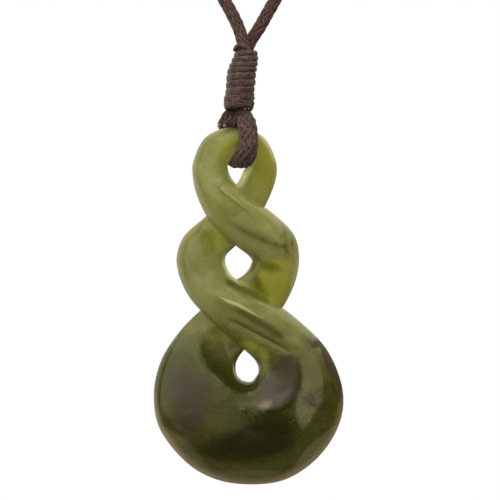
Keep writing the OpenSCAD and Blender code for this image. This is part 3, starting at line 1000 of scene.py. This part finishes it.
class StoneLook(bpy.types.PropertyGroup):
    """Sizes and colours of the stone"""

    height: metres("Height", "Height of the stone", 0.050)
    thickness: metres("Thickness", "Thickness of the stone where its runs cross", 0.006)
    sides: IntProperty(
        name="Sides", description="Flat sides round each section of the band",
        default=160, min=24, max=200)
    steps: IntProperty(
        name="Steps", description="Sections from one row of the band to the next",
        default=14, min=3, max=24)
    gloss: fraction("Roughness", "Roughness of the polish", 0.15, 0.05)
    olive: colour("Olive", "Stone of the upper loops", 0.262, 0.262, 0.070)
    moss: colour("Moss", "Stone of the middle loop", 0.220, 0.212, 0.060)
    # Colour of the clear stone, also of the painted light in the loops
    clear: colour("Clear", "Clear yellow stone in the loops", 0.330, 0.316, 0.036)
    green: colour("Green", "Deeper green clouds", 0.140, 0.152, 0.022)
    cloud: colour("Cloud", "Milky clouds", 0.32, 0.31, 0.12)
    dark: colour("Dark", "Stone of the round bottom", 0.056, 0.056, 0.010)
    deep: colour("Deep", "Darkest stone at the bottom", 0.014, 0.0135, 0.003)
    brown: colour("Brown", "Brown clouds", 0.058, 0.041, 0.026)
    rust: colour("Rust", "Rusty skin at the edge", 0.056, 0.026, 0.007)
    # Colour of the milky streak and of the painted reflections in the round bottom
    streak: colour("Streak", "Milky green streak in the bottom", 0.155, 0.142, 0.056)
    # Tint of the painted shade in the carved hollows
    hollow: colour("Hollows", "Tint of the carved hollows", 0.46, 0.51, 0.33)
    # Colour of the painted highlight and glint on the lip under the bottom hole
    lip_highlight: colour("Rubbed", "Rubbed stone on the lip under the bottom hole", 0.22, 0.18, 0.125)
    # Colour of the painted light through thin stone and of the painted highlights on its ridges
    thin: colour("Thin", "Stone so thin that light comes through", 0.56, 0.53, 0.27)
    rim: colour("Rim", "Light through the thin rims", 0.13, 0.085, 0.05)
    glow: colour("Glow", "Light that comes through the walls of the holes", 0.190, 0.180, 0.055)
    # Pale flecks, which also stand for small painted glints
    fleck_and_glint: colour("Flecks", "Fine mineral flecks", 0.45, 0.45, 0.22)


class CordLook(bpy.types.PropertyGroup):
    """Sizes and colours of the cord, the binding and the cut end"""

    lay: metres("Lay", "Length of cord in which a strand goes round once", 0.0092)
    strand_width: fraction("Strand width", "Width of a strand against the cord's radius", 0.52, 0.3)
    thread: metres("Thread", "Thickness of the binding's thread", 0.0006)
    cord_light: colour("Cord light", "Raised filaments of the cord", 0.166, 0.092, 0.077)
    cord_dark: colour("Cord dark", "Sunk filaments of the cord", 0.042, 0.021, 0.019)
    thread_light: colour("Thread light", "Raised filaments of the binding", 0.145, 0.092, 0.081)
    thread_dark: colour("Thread dark", "Sunk filaments of the binding", 0.030, 0.018, 0.017)
    frayed_light: colour("Frayed light", "Raised filaments of the cut end", 0.115, 0.066, 0.054)
    frayed_dark: colour("Frayed dark", "Sunk filaments of the cut end", 0.026, 0.014, 0.012)
    tint: colour("Tint", "Purple brown tint of the dye", 0.070, 0.036, 0.042)
    # Colour of the melted ends, also used for the beads that are painted glints
    melted: colour("Melted", "Melted ends of the cord", 0.62, 0.50, 0.40)
    wax: colour("Wax", "Pale specks of wax", 0.32, 0.24, 0.19)


class StageLook(bpy.types.PropertyGroup):
    """Sizes of the studio"""

    lens: FloatProperty(
        name="Lens", description="Focal length", default=200.0, subtype="DISTANCE_CAMERA",
        unit="CAMERA")
    distance: metres("Distance", "Camera's distance from the stone", 0.388)
    floor_drop: metres("Floor", "Depth of the floor under the nape", 0.90)
    key: FloatProperty(
        name="Soft lights", description="Power of the soft lights", default=2.6, subtype="POWER",
        unit="POWER")


def carved(lines, place):
    """The rise that ridges and hollows give a face, at places in the plane of the stone"""
    total = np.zeros(place.shape[:-1])
    for rise, left, right, points in lines:
        nearest = np.full(total.shape, np.inf)
        side = np.zeros(total.shape)
        strength = np.zeros(total.shape)
        points = np.array(points)
        for start, end in zip(points[:-1], points[1:]):
            step = end[:2] - start[:2]
            from_start = place - start[:2]
            passed = np.clip(from_start @ step / (step @ step), 0, 1)
            off = from_start - passed[..., None] * step
            gap = np.hypot(off[..., 0], off[..., 1])
            closer = gap < nearest
            nearest = np.where(closer, gap, nearest)
            side = np.where(closer, step[0] * off[..., 1] - step[1] * off[..., 0], side)
            strength = np.where(closer, start[2] + passed * (end[2] - start[2]), strength)
        width = np.where(side > 0, left, right) * (NARROWEST + (1 - NARROWEST) * strength)
        blunt = np.hypot(nearest, BLUNT) - BLUNT
        total += rise * strength * np.clip(1 - blunt / width, 0, None)
    return total


def band_sections(rows, others, thickness, sides, lines, other_lines):
    """Every section of a run of the band. The back face of a run has the front face of the other
    run, so the stone looks the same from behind with its runs changed over."""
    angle = 2 * math.pi * (np.arange(sides) + 0.5) / sides
    in_front = angle < math.pi
    first, second = rows[:, None, 0:2], rows[:, None, 2:4]
    crown = np.where(in_front, rows[:, None, 4], others[:, None, 4]) * thickness / TABLE_THICKNESS
    crest = np.where(in_front, rows[:, None, 5], others[:, None, 5])
    low = np.clip((BOTTOM_START - (rows[:, 1] + rows[:, 3]) / 2) / BOTTOM_BLEND, 0, 1)[:, None]
    power = RAIL_POWER + (BOTTOM_POWER - RAIL_POWER) * low * low * (3 - 2 * low)
    side = bulge(-np.cos(angle), power)
    across = np.where(side < 0, crest * (1 + side), crest + (1 - crest) * side)
    rise = crown * np.abs(np.sin(angle))
    place = first + across[..., None] * (second - first)
    twin = others[:, None, 0:2] + across[..., None] * (others[:, None, 2:4] - others[:, None, 0:2])
    edge = np.abs(np.sin(angle)) ** EDGE_FADE
    cut = np.where(in_front, carved(lines, place), carved(other_lines, twin)) * edge
    rail = (RAIL_LEAN * (others[:, 4] - rows[:, 4]))[:, None]
    rise = rail + np.where(in_front, -1, 1) * (rise + cut)
    return np.stack([place[..., 0], rise, place[..., 1]], axis=-1)


def lap_ring(ring, before):
    """A smaller copy of an end section, moved on past it, so that the runs lap inside the stone"""
    middle = ring.mean(axis=0)
    onward = unit(middle - before.mean(axis=0))
    return middle + LAP_SHARE * (ring - middle) + LAP * onward


class CarveStone(bpy.types.Operator):
    """Carve the double twist from its two runs of band"""

    bl_idname = "pendant.carve_stone"
    bl_label = "Greenstone Twist"

    def execute(self, context):
        look = context.scene.pendant_stone
        left = np.array(LEFT_RUN)
        right = np.array(RIGHT_RUN)
        left_rows = eased(left, look.steps, right[1], right[-2])
        right_rows = eased(right, look.steps, left[1], left[-2])
        runs = []
        for rows, others, lines, other_lines in (
            (left_rows, right_rows, LEFT_LINES, RIGHT_LINES),
            (right_rows, left_rows, RIGHT_LINES, LEFT_LINES),
        ):
            rings = band_sections(rows, others, look.thickness / MM, look.sides, lines, other_lines)
            top, bottom = lap_ring(rings[0], rings[1]), lap_ring(rings[-1], rings[-2])
            run = bmesh.new()
            lofted(run, np.concatenate([top[None], rings, bottom[None]]))
            bmesh.ops.recalc_face_normals(run, faces=run.faces[:])
            runs.append(added("run", run))
        join = runs[0].modifiers.new("join", "BOOLEAN")
        join.operation = "UNION"
        join.solver = "MANIFOLD"
        join.object = runs[1]
        shapes = context.evaluated_depsgraph_get()
        joined = bpy.data.meshes.new_from_object(runs[0].evaluated_get(shapes))
        stone = bmesh.new()
        stone.from_mesh(joined)
        for run in runs:
            bpy.data.meshes.remove(run.data)
        bpy.data.meshes.remove(joined)
        bmesh.ops.remove_doubles(stone, verts=stone.verts[:], dist=STONE_WELD)
        if any(not edge.is_manifold for edge in stone.edges):
            raise RuntimeError("the runs of the stone didn't join into one closed shape")

        # Ease the creases where one run meets the other, as polishing does
        for _ in range(POLISH_PASSES):
            creased = {
                vert for edge in stone.edges if edge.calc_face_angle(0.0) > CREASE
                for vert in edge.verts
            }
            bmesh.ops.smooth_vert(
                stone, verts=list(creased), factor=POLISH,
                use_axis_x=True, use_axis_y=True, use_axis_z=True)

        # Paint the layers that the material reads
        places = np.array([vert.co for vert in stone.verts])
        low_rows = BOTTOM_ROWS * look.steps
        rim = np.vstack([left_rows[-low_rows:, 2:4], right_rows[:-low_rows:-1, 2:4]])[::RIM_STEP]
        lit = np.interp(-rim[:, 1], np.negative(RIM_FADE), (0, 1))
        rims = RIM_LINES + [(1, RIM_DEPTH, RIM_DEPTH, np.column_stack([rim, lit]))]
        shade_shares, light_and_highlight_shares, brighter, rims = (
            np.clip(carved(lines, places[:, [0, 2]]), 0, 1)
            for lines in (PAINTED_SHADE_LINES, PAINTED_LIGHT_AND_HIGHLIGHT_LINES, GLOW_LINES, rims))
        in_front = places[:, 1] < 0
        # The thin layer holds painted light through thin stone and painted highlights on ridges
        for name, shares in (
            ("painted_shade", shade_shares * in_front), ("thin", light_and_highlight_shares), ("glow", brighter),
            ("rim", rims**RIM_SOFTNESS),
        ):
            layer = stone.verts.layers.float.new(name)
            stone.verts.ensure_lookup_table()
            for vert, value in zip(stone.verts, shares):
                vert[layer] = value
        grow = look.height / np.ptp(places[:, 2])
        bmesh.ops.scale(stone, vec=(grow,) * 3, verts=stone.verts[:])
        bmesh.ops.translate(stone, vec=Vector(HANG), verts=stone.verts[:])
        finished(
            "twist_polished", stone, "pendant", "twist", greenstone_material(look))
        return {"FINISHED"}


def cord_route():
    """The closed cord's middle line: dense places, radii, where its sections face, and lengths"""
    nape = [(0.0, CORD_RADIUS, 0.0, CORD_RADIUS, 0.0)]
    left = [(-x, y, z, CORD_RADIUS, 0.0) for x, y, z in NECK_HALF]
    right = [(x, y, z, CORD_RADIUS, 0.0) for x, y, z in reversed(NECK_HALF)]
    hung = np.array(FRONT_RUN + [HOLE_ROW] + BACK_RUN)
    hung[:, :3] += HANG
    rows = np.vstack([nape, left, hung, right, nape])
    rows = eased(rows, ROUTE_STEPS, rows[-2], rows[1])
    away = (rows[:, :3] - NECK_MIDDLE) * (1, 1, 0)
    toward = (1 - rows[:, 4:]) * unit(away) + rows[:, 4:] * np.array([1.0, 0.0, 0.0])

    # The bend over the stone is where the radius grows from 0.9 to 1.2 mm
    bent = np.clip((rows[:, 3] / MM - 0.9) / 0.3, 0, 1)
    radius = rows[:, 3] * (1 + BEND_SWELL * bent)
    to_hole = np.linalg.norm(rows[:, :3] - HANG - HOLE_ROW[:3], axis=1) / MM
    radius *= 1 - HOLE_PINCH * np.exp(-(to_hole / HOLE_REACH) ** 2)
    return rows[:, :3], radius, toward, lengths_along(rows[:, :3])


def sampled(route, at):
    """Places, radii and the two directions across a route at lengths along it"""
    places, radii, toward, known = route
    middle = looked_up(at, known, places)
    radius = np.interp(at, known, radii)
    ahead = looked_up((at + LOOK_AHEAD) % known[-1], known, places)
    behind = looked_up((at - LOOK_AHEAD) % known[-1], known, places)
    heading = unit(ahead - behind)
    facing = looked_up(at, known, toward)
    first = unit(facing - np.sum(facing * heading, axis=1, keepdims=True) * heading)
    return middle, radius, first, np.cross(heading, first)


class BraidCord(bpy.types.Operator):
    """Braid the closed cord from sixteen strands round a core, each over two and under two"""

    bl_idname = "pendant.braid_cord"
    bl_label = "Braided Cord"

    def execute(self, context):
        look = context.scene.pendant_cord
        route = cord_route()
        length = route[3][-1]
        turns = round(length / look.lay)
        near = (length / 2 - FINE_REACH) * turns / length
        coarse = np.linspace(0, near, round(near * COARSE), endpoint=False)
        fine = np.linspace(near, turns - near, round((turns - 2 * near) * FINE), endpoint=False)
        turn = np.concatenate([coarse, fine, turns - near + coarse])
        at = turn / turns * length
        middle, radius, first, second = sampled(route, at)
        material = thread_material(
            "waxed_braid", look, look.cord_light, look.cord_dark, streaks=2.6)
        for name, hand in (("cord_strands_right", 1), ("cord_strands_left", -1)):
            mesh = bmesh.new()
            crossing = STRANDS_EACH_WAY * math.pi * turn - math.pi / 4
            lift = STRAND_LIFT + hand * WEAVE * np.cos(crossing)
            for strand in range(STRANDS_EACH_WAY):
                angle = 2 * math.pi * (hand * turn + strand / STRANDS_EACH_WAY)
                out = np.cos(angle)[:, None] * first + np.sin(angle)[:, None] * second
                place = middle + (radius * lift)[:, None] * out
                rings = strand_rings(
                    place, out, radius * look.strand_width / 2, STRAND_THICKNESS * radius,
                    STRAND_SIDES, closed=True, power=2)
                lofted(mesh, rings, closed=True, along=at / MM + strand)
            if hand == 1:
                round_core = round_angles(CORE_SIDES)
                spaced = np.linspace(0, length, CORE_SECTIONS, endpoint=False)
                core, core_radius, core_first, core_second = sampled(route, spaced)
                rings = core[:, None] + (CORE_SHARE * core_radius)[:, None, None] * (
                    np.cos(round_core)[:, None] * core_first[:, None]
                    + np.sin(round_core)[:, None] * core_second[:, None])
                lofted(mesh, rings, closed=True, along=spaced / MM)
            finished(name, mesh, "cord", "cord", material)

        # The cord is one loop, which leaves the stone's top hole and comes back to it
        loop = route[0][:-1]
        loop = np.roll(loop, -int(np.argmin(loop[:, 2])), axis=0)[::PATH_STEP]
        return {"FINISHED"}


def binding_oval(height, angle, inset):
    """Places on the binding's oval, in millimetres, moved in by an inset"""
    table = np.array(BINDING)
    middle, width, depth = (np.interp(height, table[:, 0], table[:, k]) for k in (1, 2, 3))
    return np.stack([
        middle + (width - inset) * bulge(np.cos(angle), WRAP_POWER),
        (depth - inset) * bulge(np.sin(angle), WRAP_POWER),
        height + 0 * angle,
    ], axis=-1)


def on_binding(height, angle, inset):
    """Places on the binding's oval and the directions that they face"""
    place = binding_oval(height, angle, inset)
    return place, unit(place - binding_oval(height, angle, INNER_INSET))


class WindBinding(bpy.types.Operator):
    """Wind the thread that binds the two runs of cord together"""

    bl_idname = "pendant.wind_binding"
    bl_label = "Binding Thread"

    def execute(self, context):
        look = context.scene.pendant_cord
        thick = look.thread / MM / 2
        mesh = bmesh.new()
        lines = np.array(TURN_LINES)
        centres = (lines[1:] + lines[:-1]) / 2
        widths = (lines[1:] - lines[:-1]) / 2
        turn = np.linspace(-LEAD_IN, len(centres) - 1 + LEAD_OUT, TURN_SECTIONS * len(centres))
        height = np.interp(turn, np.arange(len(centres)), centres)
        half = np.interp(turn, np.arange(len(centres)), widths) * TURN_LAP
        angle = 2 * math.pi * turn - math.pi / 2
        place, outward = on_binding(height, angle, thick * TURN_SINK)
        rings = strand_rings(place, outward, half, thick, TURN_SIDES)
        lofted(mesh, rings, along=lengths_along(place))

        # The slanted turns, over the first even ones
        for middle, slope, wave, start in SLANTED_TURNS:
            angle = np.linspace(0, 2 * math.pi, SLANTED_SECTIONS, endpoint=False)
            height = middle + slope * np.cos(angle) + wave * np.sin(2 * angle + start)
            inset = thick * (SLANTED_SINK + SLANTED_WAVER * np.sin(3 * angle + start))
            place, outward = on_binding(height, angle, inset)
            rings = strand_rings(
                place, outward, SLANTED_HALF_WIDTH, thick * SLANTED_THICKNESS, SLANTED_SIDES,
                closed=True)
            lofted(mesh, rings, closed=True, along=start + angle * ARC)

        for points in TAILS:
            path = eased(np.array(points), TAIL_STEPS, points[0], points[-1])
            rings = strand_rings(path, unit(path - np.array(TAIL_MIDDLE)), *TAIL_FORM)
            lofted(mesh, rings, along=np.arange(len(path)) * TAIL_STEP)

        height = np.linspace(*FILLING)
        angle = round_angles(FILLING_SIDES)
        rings = [binding_oval(level + 0 * angle, angle, FILLING_INSET) for level in height]
        lofted(mesh, np.stack(rings), along=height)

        hang(mesh)
        material = thread_material(
            "binding_thread", look, look.thread_light, look.thread_dark, streaks=1.6)
        finished("binding_turns", mesh, "cord", "binding", material)
        return {"FINISHED"}


class FrayEnd(bpy.types.Operator):
    """Splay and fray the cut end of the cord under the binding"""

    bl_idname = "pendant.fray_end"
    bl_label = "Cut End"

    def execute(self, context):
        look = context.scene.pendant_cord
        chance = np.random.default_rng(7)
        mesh = bmesh.new()
        fan = np.array(CUT_FAN)
        along = np.linspace(0, 1, CUT_SECTIONS)
        weight = along[:, None]
        bent = np.linspace(0, 1, WISP_SECTIONS)[:, None]
        for layer, lowest in enumerate(CUT_FLOORS):
            for strand in range(CUT_STRANDS):
                spot = (strand + 0.5 * (layer % 2)) / CUT_STRANDS
                tip = looked_up(spot, np.linspace(0, 1, len(fan)), fan)
                tip = tip + TIP_SCATTER * chance.standard_normal(3)
                tip[1] = min(tip[1], TIPS_BACK) + TIP_STEP_BACK * layer
                height = tip[2] + TIP_STEP_UP * layer + HEIGHT_SCATTER * chance.standard_normal()
                tip[2] = max(height, lowest)

                # It bends over a knee between the binding and its tip, and sways a little
                top = CUT_TOP + CUT_RIGHT * spot + CUT_BACK * layer
                knee = 0.45 * top + 0.55 * tip + KNEE_STANDS * (1 - layer / len(CUT_FLOORS))
                knee += KNEE_SCATTER * chance.standard_normal(3)
                place = (1 - weight) ** 2 * top + 2 * weight * (1 - weight) * knee + weight**2 * tip
                swings = (8 + 6 * chance.random()) * weight + 6 * chance.random(3)
                place += SWAY * weight * np.sin(swings)
                place[:, 2] = np.maximum(place[:, 2], lowest)
                out = np.tile(unit(np.array([0.2 * spot - 0.1, -1.0, 0.1])), (CUT_SECTIONS, 1))
                rings = strand_rings(place, out, *CUT_FORM)
                end = rings[-1].mean(axis=0)
                rings[-1] = end + CUT_TAPER * (rings[-1] - end)
                lofted(mesh, rings, along=along * CUT_LENGTH + strand)

                # Loose wisps spread from its tip
                for _ in range(WISPS):
                    spread = unit(unit(tip - top) + WISP_SPREAD * chance.standard_normal(3))
                    reach = WISP_LENGTH + WISP_MORE * chance.random()
                    root = tip + ROOT_SCATTER * chance.standard_normal(3) - ROOT_SINK * spread
                    wisp = root + reach * bent * spread + bent**2 * WISP_DROOP
                    wisp[:, 2] = np.maximum(wisp[:, 2], lowest - WISP_UNDER * bent[:, 0])
                    side = unit(np.cross(spread, (0.3, 0.9, 0.1)))
                    rings = strand_rings(wisp, np.tile(side, (WISP_SECTIONS, 1)), *WISP_FORM)
                    lofted(mesh, rings, along=bent[:, 0])
        hang(mesh)
        material = thread_material(
            "frayed_braid", look, look.frayed_light, look.frayed_dark, streaks=2.2)
        finished("cord_end_frayed", mesh, "cord", "cord_end", material)

        # Ends of the strands melted into pale beads, and pale beads on the thread's tail as painted
        # glints
        material = melted_and_glint_material(look)
        for number, (x, y, z, size) in enumerate(MELTED_BEADS_AND_GLINTS):
            bead = bmesh.new()
            bmesh.ops.create_icosphere(bead, subdivisions=3, radius=size)
            for vert in bead.verts:
                wave = math.sin(5 * vert.co.x / size + 3 * vert.co.z / size + number)
                vert.co *= 1 + BEAD_DENTS * wave
            bmesh.ops.scale(bead, vec=(MM, MM, BEAD_HEIGHT * MM), verts=bead.verts[:])
            middle = Vector(HANG) + Vector((x, y, z)) * MM
            bmesh.ops.translate(bead, vec=middle, verts=bead.verts[:])
            finished(f"melted_end_and_glint_{number + 1}", bead, "cord", "", material)
        return {"FINISHED"}


def point_at(thing, place, target):
    """Puts a light or camera at a place and turns it to a target"""
    thing.location = place
    thing.rotation_euler = (Vector(target) - Vector(place)).to_track_quat("-Z", "Y").to_euler()


class SetStage(bpy.types.Operator):
    """Set the camera, the soft lights, the pale floor and the white surround"""

    bl_idname = "pendant.set_stage"
    bl_label = "Studio"

    def execute(self, context):
        look = context.scene.pendant_stage
        scene = context.scene
        camera = bpy.data.cameras.new("camera")
        camera.lens = look.lens
        camera.sensor_width = 36.0
        camera.clip_start = 0.01
        camera.clip_end = 50.0
        viewer = bpy.data.objects.new("camera", camera)
        scene.collection.objects.link(viewer)
        target = Vector(SEEN_MIDDLE)
        point_at(viewer, target - Vector((0, look.distance, 0)), target)
        scene.camera = viewer

        for name, place, size, share_of_key, tint, mirrored in LAMPS:
            light = bpy.data.lights.new(name, "AREA")
            light.shape = "DISK"
            light.size = size
            light.energy = share_of_key * look.key
            light.color = tint
            lamp = bpy.data.objects.new(name, light)
            lamp.visible_glossy = mirrored
            scene.collection.objects.link(lamp)
            point_at(lamp, place, LIT_MIDDLE)

        mesh = bmesh.new()
        bmesh.ops.create_circle(mesh, cap_ends=True, segments=96, radius=FLOOR_RADIUS)
        bmesh.ops.translate(mesh, vec=(0, 0, -look.floor_drop), verts=mesh.verts[:])
        floor = added("floor", mesh)
        material, shader = new_material("pale_floor")
        place = shader.node("ShaderNodeTexCoord", {}, {}, "Object")
        tone = shader.mix(shader.noise(place, 6.0, 2.0), (0.80, 0.80, 0.79), (0.84, 0.84, 0.83))
        surface(shader, {"Base Color": tone, "Roughness": 0.8})
        floor.data.materials.append(material)
        floor.visible_glossy = False

        # A large soft box in front, up to the left, which the polish mirrors as a veil with clear
        # edges, the bright surround behind the stone, and a little light from below
        world = bpy.data.worlds.new("studio")
        world.use_nodes = True
        scene.world = world
        shader = Shader(world.node_tree)
        x, y, z = shader.parts(shader.node("ShaderNodeTexCoord", {}, {}, "Generated"))
        ahead = y.math("MAXIMUM", 0.0 - y, 0.05)
        across, up = x / ahead, z / ahead
        box = shader.ease(across, -2.9, -2.2) * shader.ease(across - up * 0.1, 0.34, 0.22)
        box = box * shader.ease(up - across * 0.2, -0.22, 0.02) * shader.ease(up, 2.6, 1.9)
        box = box * shader.ease(y, 0.0, -0.1)
        brightness = shader.ease(up - across, -0.1, 0.9, 0.30, 0.95)
        behind = shader.ease(y, -0.22, 0.02) * shader.ease(z - x * 0.6, -0.5, 0.35, 0.09, 1.0)
        below = shader.ease(z, -0.5, -0.64)
        tint = shader.mix(behind, (1.0, 0.975, 0.80), (1.0, 0.93, 0.84))
        strength = 0.02 + box * brightness + 0.12 * below + behind
        seen = shader.node("ShaderNodeLightPath", {}, {}, "Is Camera Ray")
        plain = shader.node("ShaderNodeBackground", {}, {"Color": (1, 1, 1, 1), "Strength": 1.0})
        soft = shader.node("ShaderNodeBackground", {}, {"Color": tint, "Strength": strength})
        both = shader.node("ShaderNodeMixShader", {}, {0: seen, 1: soft, 2: plain})
        shader.node("ShaderNodeOutputWorld", {}, {"Surface": both})
        scene.view_settings.view_transform = "Standard"
        return {"FINISHED"}


class PENDANT_PT_pieces(bpy.types.Panel):
    """Lists the pendant's pieces and their sizes and colours"""

    bl_label = "Greenstone Pendant"
    bl_idname = "PENDANT_PT_pieces"
    bl_space_type = "VIEW_3D"
    bl_region_type = "UI"
    bl_category = "Pendant"

    def draw(self, context):
        for operator in OPERATORS:
            self.layout.operator(operator.bl_idname)
        for name in LOOKS:
            look = getattr(context.scene, name)
            box = self.layout.box()
            for prop in type(look).__annotations__:
                box.prop(look, prop)


OPERATORS = (SetStage, BraidCord, WindBinding, FrayEnd, CarveStone)
LOOKS = {"pendant_stone": StoneLook, "pendant_cord": CordLook, "pendant_stage": StageLook}
CLASSES = (*LOOKS.values(), *OPERATORS, PENDANT_PT_pieces)


def register():
    for cls in CLASSES:
        bpy.utils.register_class(cls)
    for name, look in LOOKS.items():
        setattr(bpy.types.Scene, name, PointerProperty(type=look))


def unregister():
    for name in LOOKS:
        delattr(bpy.types.Scene, name)
    for cls in reversed(CLASSES):
        bpy.utils.unregister_class(cls)


def main():
    """Builds every piece and the studio"""
    register()
    bpy.ops.pendant.set_stage()
    bpy.ops.pendant.braid_cord()
    bpy.ops.pendant.wind_binding()
    bpy.ops.pendant.fray_end()
    bpy.ops.pendant.carve_stone()


if __name__ == "__main__":
    main()
